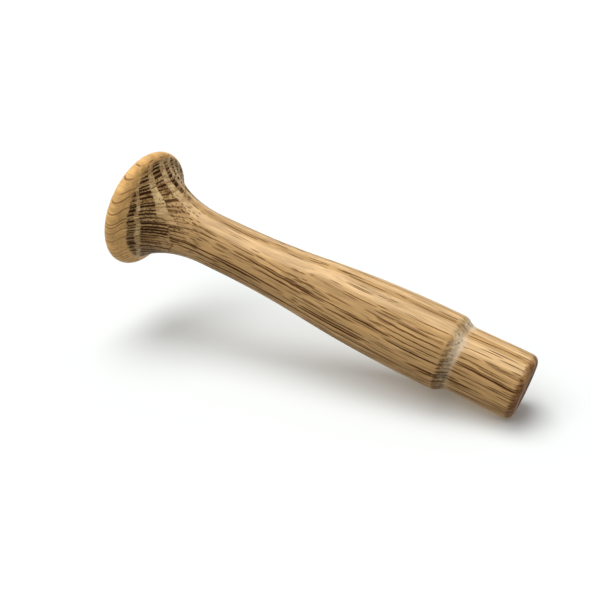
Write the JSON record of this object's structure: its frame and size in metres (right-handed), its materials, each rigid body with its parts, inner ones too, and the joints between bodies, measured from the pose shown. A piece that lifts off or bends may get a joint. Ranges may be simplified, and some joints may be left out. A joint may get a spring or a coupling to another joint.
{
  "type": "shaker peg",
  "caption": "Turned wooden peg with a domed flared head, waisted neck, tapering barrel and plain round tenon for a drilled rail.",
  "frame": {"origin": "centre of the tenon's flat end, the lowest point of the standing peg", "axes": "+Z along the turning axis, from the tenon to the head; X and Y are free, because the shape is round"},
  "size_m": [0.025, 0.025, 0.0889],
  "materials": {
    "oak": "bare turned oak, satin, with open dark pores and a rough torn shoulder"
  },
  "bodies": {
    "root": {"peg": "oak"}
  },
  "joints": []
}
